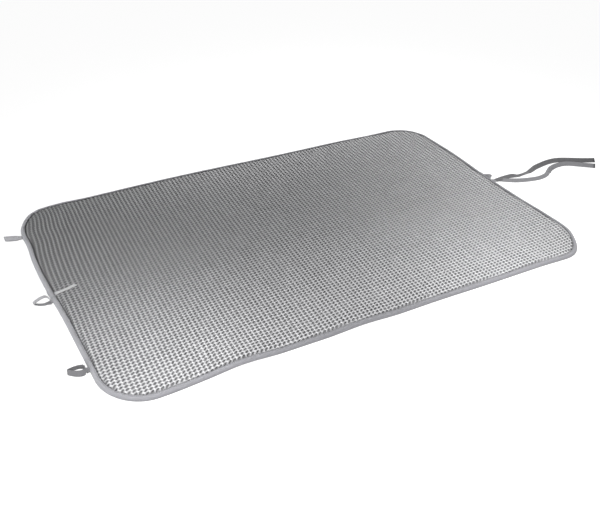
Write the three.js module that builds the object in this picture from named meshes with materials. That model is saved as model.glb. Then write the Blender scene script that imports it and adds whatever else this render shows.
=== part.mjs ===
// A steam ironing pad, 100 by 65 cm, lying open on a table.
// The mat is spacer fabric: two knitted faces held apart by a layer of upright yarns, bound all round with
// folded tape. One short end carries three tape loops and a blank label. The other carries the doubled tape
// that ties the rolled pad.
// Millimetres, +Z up, +X towards the ties. The origin is on the table, under the middle of the mat.
import * as THREE from "three";

// The mat, measured outside its binding and over its two knitted faces
const padLength = 1000;
const padWidth = 650;
const padThickness = 7;
const cornerRadius = 76;
const faceThickness = 0.8;

// Clear space between two pieces that touch, and under the tapes that lie on the table
const seat = 0.3;
const tableClear = 0.2;

// The tape folded over the edge: its thickness, how far it reaches in, and how high the bound edge stands
const bindingTape = 0.9;
const bindingFlange = 8;
const bindingHeight = 6.4;
const bindingRound = 2.2;

// How far the seam draws the binding's inner lip down
const seamPinch = 0.6;

// The end of the binding lies over its start, on the loops' edge
const lapMiddle = 8;
const lapLength = 28;
const lapRamp = 3;

// The fabric swells back to its full thickness in this run, inside the binding
const swellRun = 7;

// The soft edge lifts off the table and wanders from a straight line, and both die out in this reach
const edgeReach = 150;
const liftHeight = 3.5;
const wanderDepth = 8;
const innerCornerRadius = 40;

// The tape of the loops and ties
const tapeWidth = 12;
const tapeThickness = 1;

// The three loops, folded from that tape. The outer two are sewn this far in from the long edges, and the
// middle one this far off the middle of the short edge. A loop is rolled about its length, and its two sides
// may lean apart.
const loopLength = 32;
const loopNeck = 5;
const farLoopInset = 98;
const nearLoopInset = 103;
const middleLoopPlace = -12.2;
const farLoopSpread = 4.4;
const middleLoopSpread = 15.5;
const nearLoopSpread = 22;
const middleLoopRoll = THREE.MathUtils.degToRad(20);
const nearLoopRoll = THREE.MathUtils.degToRad(75);
const nearLoopLean = THREE.MathUtils.degToRad(35);
const farLoopSwing = 7;
const nearLoopSwing = 9;

// The label, bare, sewn in at the binding's inner edge
const labelLength = 41;
const labelWidth = 11;
const labelThickness = 0.7;
const labelPlace = 1;
const labelSwing = 7;

// The tie tape's sewn end, and the slack of it that stands along the edge beside it
const tieEndPlace = -8;
const tieEndReach = 9;
const slackStart = 37;
const slackFinish = 0;
const slackBulge = 7;

const halfLength = padLength / 2;
const halfWidth = padWidth / 2;
const rootHeight = bindingHeight / 2;
const farLoopPlace = halfWidth - farLoopInset;
const nearLoopPlace = nearLoopInset - halfWidth;

// Waves of the edge: the edge they are on, the place and half length of each as shares of that edge, and the
// height or depth as a share of the largest
const liftShares = [
  { edge: "front", place: -0.27, half: 0.07, size: 1 },
  { edge: "front", place: -0.045, half: 0.08, size: 0.9 },
  { edge: "front", place: 0.12, half: 0.11, size: 0.35 },
  { edge: "back", place: -0.12, half: 0.3, size: 0.6 },
  { edge: "right", place: 0.2, half: 0.2, size: 0.5 },
];
const wanderShares = [
  { edge: "front", place: -0.43, half: 0.15, size: 1.2 },
  { edge: "front", place: -0.2, half: 0.4, size: 0.28 },
  { edge: "front", place: 0.2, half: 0.4, size: 0.28 },
  { edge: "front", place: 0.44, half: 0.1, size: 0.4 },
  { edge: "back", place: -0.16, half: 0.32, size: 0.3 },
  { edge: "back", place: -0.39, half: 0.06, size: 0.4 },
  { edge: "back", place: 0.4, half: 0.14, size: -0.55 },
  { edge: "left", place: 0.1, half: 0.24, size: 0.5 },
  { edge: "left", place: 0.3, half: 0.1, size: -0.3 },
  { edge: "left", place: 0.44, half: 0.11, size: -1.1 },
  { edge: "right", place: 0.3, half: 0.32, size: 0.5 },
  { edge: "right", place: -0.32, half: 0.2, size: 0.5 },
  { edge: "right", place: -0.45, half: 0.1, size: -1.1 },
];

// How far each edge is from the middle, which way it faces, and how long it is
const edges = {
  front: { along: (x, y) => x, inside: (x, y) => y + halfWidth, length: padLength, out: [0, -1] },
  back: { along: (x, y) => x, inside: (x, y) => halfWidth - y, length: padLength, out: [0, 1] },
  left: { along: (x, y) => y, inside: (x, y) => x + halfLength, length: padWidth, out: [-1, 0] },
  right: { along: (x, y) => y, inside: (x, y) => halfLength - x, length: padWidth, out: [1, 0] },
};

// A smooth hump, 1 at 0 and flat at 0 past 1 on either side
function hump(t) {
  return Math.abs(t) < 1 ? (1 + Math.cos(Math.PI * t)) / 2 : 0;
}

// A smooth step from 0 to 1
function easeIn(t) {
  const s = Math.min(Math.max(t, 0), 1);
  return s * s * (3 - 2 * s);
}

// How much of one wave reaches a place on the mat
function waveAt(wave, x, y) {
  const edge = edges[wave.edge];
  const along = (edge.along(x, y) / edge.length - wave.place) / wave.half;
  const inside = Math.max(edge.inside(x, y), 0) / edgeReach;
  return wave.size * hump(along) * hump(inside);
}

// Moves a point of the flat pattern to where the soft edge really lies
function settle(x, y, z) {
  let outX = 0;
  let outY = 0;
  for (const wave of wanderShares) {
    const depth = wanderDepth * waveAt(wave, x, y);
    outX += depth * edges[wave.edge].out[0];
    outY += depth * edges[wave.edge].out[1];
  }
  let lift = 0;
  for (const wave of liftShares) {
    lift += liftHeight * waveAt(wave, x, y);
  }
  return new THREE.Vector3(x + outX, y + outY, z + lift);
}

// Joins rows of points into one closed skin facing out. Every row is a ring. The rows close in a ring
// themselves, or the first and last are each closed by the point in their middle. From the turned row on,
// the quads are split along their other diagonal, so that the skins of stacked layers that face each other
// are split alike.
function skin(rows, rowsClose, turnedRow = rows.length) {
  const width = rows[0].length;
  const points = rows.flat();
  const faces = [];
  const rowCount = rowsClose ? rows.length : rows.length - 1;
  for (let i = 0; i < rowCount; i++) {
    for (let j = 0; j < width; j++) {
      const a = i * width + j;
      const b = i * width + ((j + 1) % width);
      const c = ((i + 1) % rows.length) * width + ((j + 1) % width);
      const d = ((i + 1) % rows.length) * width + j;
      if (i < turnedRow) {
        faces.push([a, b, c], [a, c, d]);
      } else {
        faces.push([a, b, d], [b, c, d]);
      }
    }
  }
  if (!rowsClose) {
    const first = new THREE.Vector3();
    const last = new THREE.Vector3();
    rows[0].forEach((p) => first.addScaledVector(p, 1 / width));
    rows[rows.length - 1].forEach((p) => last.addScaledVector(p, 1 / width));
    const start = points.push(first) - 1;
    const end = points.push(last) - 1;
    const lastRow = (rows.length - 1) * width;
    for (let j = 0; j < width; j++) {
      const k = (j + 1) % width;
      faces.push([start, k, j], [end, lastRow + j, lastRow + k]);
    }
  }
  let volume = 0;
  const cross = new THREE.Vector3();
  for (const [a, b, c] of faces) {
    volume += points[a].dot(cross.crossVectors(points[b], points[c]));
  }
  const geometry = new THREE.BufferGeometry();
  geometry.setFromPoints(points);
  geometry.setIndex(faces.flatMap(([a, b, c]) => (volume < 0 ? [a, c, b] : [a, b, c])));
  geometry.computeVertexNormals();
  return geometry;
}

// Stations round the pad's outline, the same for every ring of it: along the straight runs by share, round
// the corners by angle. The short edges have extra ones on both sides of whatever is sewn there, so that the
// bound edge is straight across it, and where the binding's end lies over its start.
const frontParts = 20;
const backParts = 10;
const shortRunParts = 5;
const cornerParts = 8;
const shortRun = halfWidth - cornerRadius;

function runShares(parts, extra) {
  const shares = [];
  for (let i = 0; i < parts; i++) {
    shares.push(-1 + (2 * i) / parts);
  }
  return shares.concat(extra).sort((a, b) => a - b);
}

function bothSides(place, width) {
  return [place - width / 2, place + width / 2];
}

function makeStations() {
  const lapPlaces = [...bothSides(lapMiddle, lapLength), ...bothSides(lapMiddle, lapLength - 2 * lapRamp)];
  const loopMiddles = [farLoopPlace, middleLoopPlace, nearLoopPlace];
  const loopPlaces = loopMiddles.flatMap((place) => bothSides(place, tapeWidth));
  const tiePlaces = [slackStart, slackFinish, ...bothSides(tieEndPlace, tapeWidth)];
  // The loops' edge is walked from back to front, so its shares run against Y
  const leftShares = [...lapPlaces, ...loopPlaces].map((place) => -place / shortRun);
  const rightShares = tiePlaces.map((place) => place / shortRun);
  const runs = [
    { corner: [1, 1], turn: 0, straight: [-1, 0], parts: backParts, extra: [] },
    { corner: [-1, 1], turn: 1, straight: [0, -1], parts: shortRunParts, extra: leftShares },
    { corner: [-1, -1], turn: 2, straight: [1, 0], parts: frontParts, extra: [] },
    { corner: [1, -1], turn: 3, straight: [0, 1], parts: shortRunParts, extra: rightShares },
  ];
  const stations = [];
  for (const run of runs) {
    for (let i = 0; i < cornerParts; i++) {
      const angle = (run.turn + i / cornerParts) * (Math.PI / 2);
      stations.push({ corner: run.corner, angle });
    }
    for (const share of runShares(run.parts, run.extra)) {
      stations.push({ straight: run.straight, share });
    }
  }
  return stations;
}
const stations = makeStations();

// The place of a station on the ring that lies a given distance in from the outline
function ringPoint(station, inset) {
  const radius = Math.max(cornerRadius - inset, innerCornerRadius);
  const runX = halfLength - inset - radius;
  const runY = halfWidth - inset - radius;
  if (station.corner) {
    return [
      station.corner[0] * runX + radius * Math.cos(station.angle),
      station.corner[1] * runY + radius * Math.sin(station.angle),
    ];
  }
  const [alongX, alongY] = station.straight;
  return [
    alongX * station.share * runX + alongY * (halfLength - inset),
    alongY * station.share * runY - alongX * (halfWidth - inset),
  ];
}

function ring(inset, height) {
  return stations.map((station) => {
    const [x, y] = ringPoint(station, inset);
    return settle(x, y, height);
  });
}

// Upper and lower surfaces of the whole fabric at a distance in from the outline
const fabricEdge = bindingTape + seat;
const fabricFloor = bindingTape + seat;
const fabricRoof = bindingHeight - bindingTape - seat;
const flangeClear = bindingFlange + seat;
const fullThicknessAt = bindingFlange + swellRun;

function fabricTop(inset) {
  if (inset > flangeClear) {
    const swell = easeIn((inset - flangeClear) / (fullThicknessAt - flangeClear));
    return fabricRoof - seamPinch + swell * (padThickness - fabricRoof + seamPinch);
  }
  return fabricRoof - (seamPinch * (inset - fabricEdge)) / (flangeClear - fabricEdge);
}

function fabricBottom(inset) {
  return fabricFloor * (1 - easeIn((inset - flangeClear) / (fullThicknessAt - flangeClear)));
}

const swellMiddle = (flangeClear + fullThicknessAt) / 2;
const reachParts = 3;
const fabricInsets = [fabricEdge, flangeClear, swellMiddle, fullThicknessAt];
for (let i = 1; i <= reachParts; i++) {
  fabricInsets.push(fullThicknessAt + ((edgeReach - fullThicknessAt) * i) / reachParts);
}

// One layer of the fabric, between two heights that follow the mat from its edge to its flat middle
function fabricLayer(topOf, bottomOf) {
  const inward = [...fabricInsets].reverse();
  const rows = [
    ...inward.map((inset) => ring(inset, topOf(inset))),
    ...fabricInsets.map((inset) => ring(inset, bottomOf(inset))),
  ];
  return skin(rows, false, fabricInsets.length);
}

const upperFace = fabricLayer(
  (inset) => fabricTop(inset),
  (inset) => fabricTop(inset) - faceThickness,
);
const yarnCore = fabricLayer(
  (inset) => fabricTop(inset) - faceThickness - seat,
  (inset) => fabricBottom(inset) + faceThickness + seat,
);
const lowerFace = fabricLayer(
  (inset) => fabricBottom(inset) + faceThickness,
  (inset) => fabricBottom(inset),
);

// The binding's section: a U that opens inwards, rounded at its fold, with its upper lip drawn down by the
// seam. Each point is a distance in from the outline and a height, and the outer ones move out where the
// tape lies double.
const lipHeight = bindingHeight - seamPinch;
const foldParts = 3;

function bindingSection(double) {
  const grow = double * bindingTape;
  const section = [];
  section.push([bindingFlange, lipHeight - bindingTape]);
  section.push([bindingFlange, lipHeight + grow]);
  for (let i = 0; i <= foldParts; i++) {
    const angle = (i / foldParts) * (Math.PI / 2);
    section.push([
      bindingRound - (bindingRound + grow) * Math.sin(angle),
      bindingHeight - bindingRound + (bindingRound + grow) * Math.cos(angle),
    ]);
  }
  for (let i = 0; i <= foldParts; i++) {
    const angle = (i / foldParts) * (Math.PI / 2);
    section.push([
      bindingRound - (bindingRound + grow) * Math.cos(angle),
      bindingRound - bindingRound * Math.sin(angle),
    ]);
  }
  section.push([bindingFlange, 0]);
  section.push([bindingFlange, bindingTape]);
  section.push([bindingTape, bindingTape]);
  section.push([bindingTape, bindingHeight - bindingTape]);
  return section;
}

// 1 where the binding's end lies over its start, easing to 0 outside
function lapAmount(x, y) {
  if (x > 0) {
    return 0;
  }
  const past = Math.abs(y - lapMiddle) - (lapLength / 2 - lapRamp);
  return 1 - Math.min(Math.max(past / lapRamp, 0), 1);
}

function edgeBinding() {
  const rows = stations.map((station) => {
    const [edgeX, edgeY] = ringPoint(station, 0);
    return bindingSection(lapAmount(edgeX, edgeY)).map(([inset, height]) => {
      const [x, y] = ringPoint(station, inset);
      return settle(x, y, height);
    });
  });
  return skin(rows, true);
}

// One loop, drawn flat as a drop with a neck and a round root, and given the width of the tape. Its eye is
// what the tape goes round. Then it is twisted about its length, lifted and swung. It runs from 0, its root,
// towards -X.
const rootRadius = tapeThickness + seat / 2;
const dropParts = 14;
const rootParts = 6;
const neckOffset = (tapeThickness + seat) / 2;
const dropRun = loopLength - loopNeck - tapeThickness / 2;

// The most that the drop's formula, sin(angle) times sin(angle / 2), comes to
const dropPeak = 4 / (3 * Math.sqrt(3));

// A point of the tape's middle line, at a share of its way from the neck to the tip
function dropCentre(spread, share) {
  const angle = share * Math.PI;
  const wide = (spread / 2 - tapeThickness / 2 - neckOffset) / dropPeak;
  return new THREE.Vector2(
    loopNeck + (dropRun * (1 - Math.cos(angle))) / 2,
    neckOffset * Math.cos(angle / 2) ** 2 + wide * Math.sin(angle) * Math.sin(angle / 2),
  );
}

// Half the loop's height over both its tapes, at a distance out from the root
function dropHalf(spread, along) {
  const cosine = 1 - (2 * (along - loopNeck)) / dropRun;
  const share = Math.acos(Math.min(Math.max(cosine, -1), 1)) / Math.PI;
  return dropCentre(spread, share).y + tapeThickness / 2;
}

// One side of the tape, at an offset from its middle line
function dropSide(spread, offset) {
  const side = [];
  for (let i = 0; i <= dropParts; i++) {
    const share = i / dropParts;
    const here = dropCentre(spread, share);
    const step = 1 / (dropParts * dropParts);
    const ahead = dropCentre(spread, Math.min(share + step, 1));
    const behind = dropCentre(spread, Math.max(share - step, 0));
    const run = ahead.sub(behind).normalize();
    const across = i === dropParts ? new THREE.Vector2(1, 0) : new THREE.Vector2(-run.y, run.x);
    side.push(here.addScaledVector(across, offset));
  }
  return side;
}

// How far one side of a rolled loop reaches down, its middle line being this far up before the roll
function reachOf(up, turn) {
  return (tapeWidth / 2) * Math.abs(Math.sin(turn)) - up * Math.cos(turn);
}

function loopGeometry({ spread, roll, lean, swing }) {
  const outer = dropSide(spread, tapeThickness / 2);
  const inner = dropSide(spread, -tapeThickness / 2).slice(1);
  const outline = new THREE.Shape();
  outline.absarc(0, 0, rootRadius, Math.PI / 2, (3 * Math.PI) / 2, false);
  outer.forEach((p) => outline.lineTo(p.x, -p.y));
  [...outer].reverse().slice(1).forEach((p) => outline.lineTo(p.x, p.y));
  const eye = new THREE.Path();
  eye.moveTo(loopNeck, 0);
  inner.forEach((p) => eye.lineTo(p.x, p.y));
  [...inner].reverse().slice(1).forEach((p) => eye.lineTo(p.x, -p.y));
  outline.holes.push(eye);
  const solid = new THREE.ExtrudeGeometry(outline, {
    depth: tapeWidth, bevelEnabled: false, steps: 1, curveSegments: rootParts,
  });
  solid.translate(0, 0, -tapeWidth / 2);

  // The roll, and the lean of the two sides away from it, grow from nothing at the root
  const turnAt = (along, up) => {
    return (roll - (lean * up) / (spread / 2)) * easeIn((along - rootRadius) / (loopLength / 2));
  };
  const lowest = (along, half) => {
    const sides = [half, half - tapeThickness, tapeThickness - half, -half];
    return Math.max(...sides.map((up) => reachOf(up, turnAt(along, up))));
  };

  // Half way along, the loop has come to the height at which it lies or stands on the table
  const restHeight = tableClear + lowest(loopLength, spread / 2);
  const place = solid.attributes.position;
  for (let i = 0; i < place.count; i++) {
    const along = place.getX(i);
    const up = place.getY(i);
    const across = place.getZ(i);
    const turn = turnAt(along, up);
    const reachDown = Math.max(lowest(along, dropHalf(spread, along)), reachOf(up, turn));
    const eased = rootHeight + (restHeight - rootHeight) * easeIn(along / (loopLength / 2));
    const tip = Math.max(along, 0) / loopLength;
    place.setXYZ(
      i,
      -along,
      across * Math.cos(turn) + up * Math.sin(turn) + swing * tip * tip,
      up * Math.cos(turn) - across * Math.sin(turn) + Math.max(eased, tableClear + reachDown) - rootHeight,
    );
  }
  return solid;
}

// The section of a flat tape, a rectangle with its corners taken off: how far across it and off its middle
// each corner is
const tapeChamferShare = 0.3;

function tapeSection(width, thickness) {
  const chamfer = thickness * tapeChamferShare;
  const halfAcross = width / 2;
  const halfOff = thickness / 2;
  return [
    [halfAcross, halfOff - chamfer],
    [halfAcross - chamfer, halfOff],
    [chamfer - halfAcross, halfOff],
    [-halfAcross, halfOff - chamfer],
    [-halfAcross, chamfer - halfOff],
    [chamfer - halfAcross, -halfOff],
    [halfAcross - chamfer, -halfOff],
    [halfAcross, chamfer - halfOff],
  ];
}

// A flat tape along a line of points, rolled about its run by an angle at each point
function ribbon(points, rolls, width, thickness) {
  const section = tapeSection(width, thickness);
  const rows = points.map((point, i) => {
    const ahead = points[Math.min(i + 1, points.length - 1)];
    const behind = points[Math.max(i - 1, 0)];
    const run = ahead.clone().sub(behind).normalize();
    const side = new THREE.Vector3(-run.y, run.x, 0).normalize();
    const up = run.clone().cross(side);
    side.applyAxisAngle(run, rolls[i]);
    up.applyAxisAngle(run, rolls[i]);
    return section.map(([across, off]) => {
      return point.clone().addScaledVector(side, across).addScaledVector(up, off);
    });
  });
  return skin(rows, false);
}

// The label lies on the mat and is tilted a little, its near side up. Its root is just above the binding's
// lapped lip.
const labelRootInside = seat + labelThickness / 2;
const labelRootHeight = lipHeight + bindingTape + seat + labelThickness / 2;
const labelTilt = THREE.MathUtils.degToRad(10);
const labelParts = 8;

function labelGeometry() {
  const points = [];
  const rolls = [];
  const fullRise = padThickness + seat + labelThickness / 2 - labelRootHeight;
  for (let i = 0; i <= labelParts; i++) {
    const share = i / labelParts;
    const tilt = labelTilt * Math.sin(Math.PI * Math.sqrt(share));
    const height = fullRise * easeIn(share) + (labelWidth / 2) * Math.sin(tilt);
    points.push(new THREE.Vector3(labelLength * share, labelSwing * share * share, height));
    rolls.push(-tilt);
  }
  return ribbon(points, rolls, labelWidth, labelThickness);
}

// The straight line across a piece sewn to a short edge, side -1 being the loops' and 1 the ties': its
// middle, and how far it is turned from the Y axis
function sewnLine(side, inset, place, width) {
  const edgeX = side * (halfLength - inset);
  const [low, high] = bothSides(place, width).map((y) => settle(edgeX, y, rootHeight));
  const turn = Math.atan2(low.x - high.x, high.y - low.y);
  return { side, turn, middle: low.add(high).divideScalar(2) };
}

// Sets a piece square to its sewn line, at a distance out from it
function seatOn(mesh, line, distance) {
  const out = new THREE.Vector3(line.side * Math.cos(line.turn), line.side * Math.sin(line.turn), 0);
  mesh.rotation.z = line.turn;
  mesh.position.copy(line.middle).addScaledVector(out, distance);
}

// The tie tape's middle, folded double and sewn into the edge, comes down to the table
const tieEndParts = 4;

function tieEndGeometry() {
  const doubled = 2 * tapeThickness + seat;
  const points = [];
  const rolls = [];
  for (let i = 0; i <= tieEndParts; i++) {
    const share = i / tieEndParts;
    const drop = (doubled / 2 + tableClear - rootHeight) * easeIn(share);
    points.push(new THREE.Vector3((tieEndReach - seat) * share, 0, drop));
    rolls.push(0);
  }
  return ribbon(points, rolls, tapeWidth, doubled);
}

// The slack of the tie tape stands on its edge beside the binding, touches it at both ends and bows out
// between
const slackParts = 12;
const slackLean = 0.6;

function slackGeometry() {
  const points = [];
  const rolls = [];
  for (let i = 0; i <= slackParts; i++) {
    const share = i / slackParts;
    const y = slackStart + (slackFinish - slackStart) * share;
    const bow = Math.sin(Math.PI * share ** slackLean) ** 2;
    const point = settle(halfLength, y, 0);
    point.x += seat + tapeThickness / 2 + slackBulge * bow;
    point.z = tableClear + tapeWidth / 2;
    points.push(point);
    rolls.push(Math.PI / 2);
  }
  return ribbon(points, rolls, tapeWidth, tapeThickness);
}

// The two ties, each a flat tape along its own line on the table. The second lies on the table all the way,
// and the first starts on top of it.
const firstTieRoute = [
  [509.5, -8, 2], [516, -8, 2], [524, -7.8, 2], [533, -8.1, 2], [543, -8.9, 1.9],
  [554, -10.2, 1.5], [565, -11.4, 1], [577, -12.7, 0.8], [590, -12.4, 0.8], [603, -10.3, 0.8],
  [616, -7, 0.8], [630, -2.8, 0.8], [646, 0.2, 0.8], [664, 3.4, 0.8], [684, 4.6, 0.8],
  [698, 3.5, 0.8], [711, -0.3, 0.8], [724, -6.8, 0.8], [737, -14.3, 0.8], [756, -25, 0.8],
  [771, -32, 0.8], [785, -38, 0.8],
];
const secondTieRoute = [
  [509.5, -8, 0.7], [514, -8, 0.7], [521, -11.6, 0.7], [530, -18.6, 0.7], [539, -25.4, 0.7],
  [549, -31.3, 0.7], [560, -35.6, 0.7], [577, -40.4, 0.7], [598, -44.2, 0.7], [614, -44, 0.7],
  [629, -40, 0.7], [645, -31.8, 0.7], [659, -24.2, 0.7], [673, -19.2, 0.7], [689, -17.2, 0.7],
  [704, -18.6, 0.7], [719, -25.4, 0.7], [733, -36.4, 0.7], [748, -48.4, 0.7], [764, -61, 0.7],
];
const tieSteps = 30;

function tieGeometry(route) {
  const line = new THREE.CatmullRomCurve3(route.map((p) => new THREE.Vector3(...p)));
  const corners = tapeSection(tapeWidth, tapeThickness);
  const section = new THREE.Shape(corners.map(([across, off]) => new THREE.Vector2(off, across)));
  return new THREE.ExtrudeGeometry(section, { steps: tieSteps, extrudePath: line, bevelEnabled: false });
}

const group = new THREE.Group();

function add(parent, name, geometry, material) {
  const mesh = new THREE.Mesh(geometry, material);
  mesh.name = name;
  parent.add(mesh);
  return mesh;
}

function fabric(color, roughness) {
  return new THREE.MeshStandardMaterial({ color, roughness, metalness: 0 });
}

add(group, "upper_mesh_face", upperFace, fabric(0xb4b4b6, 0.75));
add(group, "spacer_yarn_core", yarnCore, fabric(0x77777a, 0.85));
add(group, "lower_mesh_face", lowerFace, fabric(0x9a9a9d, 0.8));
add(group, "edge_binding", edgeBinding(), fabric(0xa6a5ac, 0.8));

const loops = [
  {
    name: "far_loop",
    place: farLoopPlace,
    spread: farLoopSpread,
    roll: 0,
    lean: 0,
    swing: farLoopSwing,
  },
  {
    name: "middle_loop",
    place: middleLoopPlace,
    spread: middleLoopSpread,
    roll: middleLoopRoll,
    lean: 0,
    swing: 0,
  },
  {
    name: "near_loop",
    place: nearLoopPlace,
    spread: nearLoopSpread,
    roll: nearLoopRoll,
    lean: nearLoopLean,
    swing: nearLoopSwing,
  },
];
for (const loop of loops) {
  const mesh = add(group, loop.name, loopGeometry(loop), fabric(0x8f8f94, 0.85));
  seatOn(mesh, sewnLine(-1, 0, loop.place, tapeWidth), seat + rootRadius);
}

const label = add(group, "blank_label", labelGeometry(), fabric(0xdededf, 0.6));
seatOn(label, sewnLine(-1, bindingFlange, labelPlace, labelWidth), -labelRootInside);
label.position.z = labelRootHeight;

const tieEnd = add(group, "tie_sewn_end", tieEndGeometry(), fabric(0x85858a, 0.85));
seatOn(tieEnd, sewnLine(1, 0, tieEndPlace, tapeWidth), seat);
add(group, "tie_slack", slackGeometry(), fabric(0x85858a, 0.85));
add(group, "first_tie", tieGeometry(firstTieRoute), fabric(0x808085, 0.85));
add(group, "second_tie", tieGeometry(secondTieRoute), fabric(0x808085, 0.85));

export default group;
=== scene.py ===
# A steam ironing pad, 100 by 65 cm, lying open: spacer fabric bound all round with folded tape, with three
# tape loops and a blank label on one short end and a doubled tie tape on the other. Metres, Z up, X towards
# the ties.
import math

import bmesh
import bpy
import numpy as np
from mathutils import Euler, Matrix, Vector


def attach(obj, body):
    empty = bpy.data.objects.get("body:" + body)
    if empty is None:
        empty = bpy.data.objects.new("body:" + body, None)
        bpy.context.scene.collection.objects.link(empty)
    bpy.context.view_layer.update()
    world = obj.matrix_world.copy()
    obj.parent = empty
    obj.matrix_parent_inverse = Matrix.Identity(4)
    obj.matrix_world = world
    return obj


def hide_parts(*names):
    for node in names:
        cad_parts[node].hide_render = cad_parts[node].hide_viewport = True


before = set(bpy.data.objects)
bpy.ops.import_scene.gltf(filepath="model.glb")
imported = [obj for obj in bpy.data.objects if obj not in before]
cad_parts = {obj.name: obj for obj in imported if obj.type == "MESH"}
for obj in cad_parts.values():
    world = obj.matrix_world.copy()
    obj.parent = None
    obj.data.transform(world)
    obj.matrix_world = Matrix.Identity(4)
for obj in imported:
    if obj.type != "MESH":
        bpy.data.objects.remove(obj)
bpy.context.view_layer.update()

# The spacer fabric as it lies
# It is cut as a rectangle with round corners. Its soft edge lifts off the table in places and wanders from a
# straight line, and both die out towards the flat middle.
HALF = (0.5, 0.325)
CORNER = 0.076
EDGE_REACH = 0.15
LIFT_HEIGHT = 0.0035
WANDER_DEPTH = 0.008

# An edge is told by the axis that it runs along and the way it faces. Each wave has its place along the edge
# and its half length, both as shares of the edge, and its height or depth as a share of the largest.
FRONT, BACK, LEFT, RIGHT = (0, -1), (0, 1), (1, -1), (1, 1)
LIFT_SHARES = [
    (FRONT, -0.27, 0.07, 1),
    (FRONT, -0.045, 0.08, 0.9),
    (FRONT, 0.12, 0.11, 0.35),
    (BACK, -0.12, 0.3, 0.6),
    (RIGHT, 0.2, 0.2, 0.5),
]
WANDER_SHARES = [
    (FRONT, -0.43, 0.15, 1.2),
    (FRONT, -0.2, 0.4, 0.28),
    (FRONT, 0.2, 0.4, 0.28),
    (FRONT, 0.44, 0.1, 0.4),
    (BACK, -0.16, 0.32, 0.3),
    (BACK, -0.39, 0.06, 0.4),
    (BACK, 0.4, 0.14, -0.55),
    (LEFT, 0.1, 0.24, 0.5),
    (LEFT, 0.3, 0.1, -0.3),
    (LEFT, 0.44, 0.11, -1.1),
    (RIGHT, 0.3, 0.32, 0.5),
    (RIGHT, -0.32, 0.2, 0.5),
    (RIGHT, -0.45, 0.1, -1.1),
]
WAVES = ((WANDER_SHARES, WANDER_DEPTH, True), (LIFT_SHARES, LIFT_HEIGHT, False))


def hump(t):
    """1 at 0, and flat at 0 past 1 on either side."""
    return np.where(np.abs(t) < 1, (1 + np.cos(np.pi * t)) / 2, 0)


def ease(t):
    """A smooth step from 0 to 1."""
    s = np.clip(t, 0, 1)
    return s * s * (3 - 2 * s)


def settle(flat):
    """Where the soft edge puts points of the flat pattern, rows of x, y and z."""
    lain = np.array(flat, float)
    for shares, reach, sideways in WAVES:
        for (axis, way), place, half, size in shares:
            other = 1 - axis
            along = (flat[:, axis] / (2 * HALF[axis]) - place) / half
            inside = np.maximum(HALF[other] - way * flat[:, other], 0) / EDGE_REACH
            depth = reach * size * hump(along) * hump(inside)
            if sideways:
                lain[:, other] += way * depth
            else:
                lain[:, 2] += depth
    return lain


def inset_of(x, y):
    """How far inside the outline a point of the flat pattern is."""
    past = [np.maximum(np.abs(c) - half + CORNER, 0) for c, half in zip((x, y), HALF)]
    nearest = np.maximum(np.abs(x) - HALF[0], np.abs(y) - HALF[1])
    return np.where(np.hypot(*past) > 0, CORNER - np.hypot(*past), -nearest)


# Heights of the fabric over the table, at a distance in from the outline. The seam draws it in under the
# binding, which reaches in as far as its flange, and it swells to its full thickness just inside that. SEAT
# is the gap between pieces that are sewn or seated together.
THICKNESS = 0.007
FACE = 0.0008
TAPE = 0.0009
SEAT = 0.0003
FLANGE = 0.008
EDGE_HEIGHT = 0.0064
SEAM_PINCH = 0.0002
GROOVE_DEPTH = 0.0010
GROOVE_MIDDLE = 0.0089
GROOVE_HALF = 0.0023
SWELL_RUN = 0.007
fabric_edge = TAPE + SEAT
under_tape = EDGE_HEIGHT - TAPE - SEAT


def swell(inset):
    """0 under the binding, and 1 where the fabric has its full thickness."""
    return ease((inset - FLANGE - SEAT) / (SWELL_RUN - SEAT))


def fabric_top(inset):
    pinch = np.clip((inset - fabric_edge) / (FLANGE + SEAT - fabric_edge), 0, 1)
    drawn_in = under_tape - SEAM_PINCH * pinch
    groove = GROOVE_DEPTH * hump((inset - GROOVE_MIDDLE) / GROOVE_HALF)
    return drawn_in + swell(inset) * (THICKNESS - drawn_in) - groove


def fabric_bottom(inset):
    return fabric_edge * (1 - swell(inset))


# Upper knitted face
# A warp-knitted polyester net, light grey. Soft round strands meet in raised knots and leave slanted slits,
# in columns across the pad and rows along it, and lie a little unevenly, as knitted yarn does.
COLUMN_PITCH = 0.00844
ROW_PITCH = 0.00735
SLIT_LENGTH = 0.0081
SLIT_WIDTH = 0.0031
SLIT_TURN = math.radians(40)
SLIT_SIDES = 8
KNOT_HEIGHT = 0.0011
CROWN_SHARE = 0.5
NET_RIM = 0.002

# The spread of the points sideways and, by whole columns and rows, in height
UNEVEN = 0.00028
STREAK = 0.00022
YARN_SEED = 11

# How far a column and a row run aside for each metre of their length, since the knit has been pulled askew
COLUMN_LEAN = 0.071
ROW_LEAN = 0.047
columns = math.ceil(2 * (HALF[0] + COLUMN_LEAN * HALF[1]) / COLUMN_PITCH)
rows = math.ceil(2 * (HALF[1] + ROW_LEAN * HALF[0]) / ROW_PITCH)
GRID = ((0, columns, COLUMN_PITCH), (1, rows, ROW_PITCH))

# Between these insets the net comes up out of the painted shade of the groove beside the binding
GROOVE_SHADE_INSETS = (0.0095, 0.0112)

# Points nearer than this are joined, where copies of the cell meet and along the net's rim
CELL_JOIN = FACE / 20
RIM_JOIN = FACE / 100


def mesh_of(bm, name, smooth=True):
    """The finished mesh of a bmesh, as a new object at the origin."""
    mesh = bpy.data.meshes.new(name)
    bm.to_mesh(mesh)
    bm.free()
    mesh.polygons.foreach_set("use_smooth", [smooth] * len(mesh.polygons))
    piece = bpy.data.objects.new(name, mesh)
    bpy.context.scene.collection.objects.link(piece)
    return piece


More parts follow.
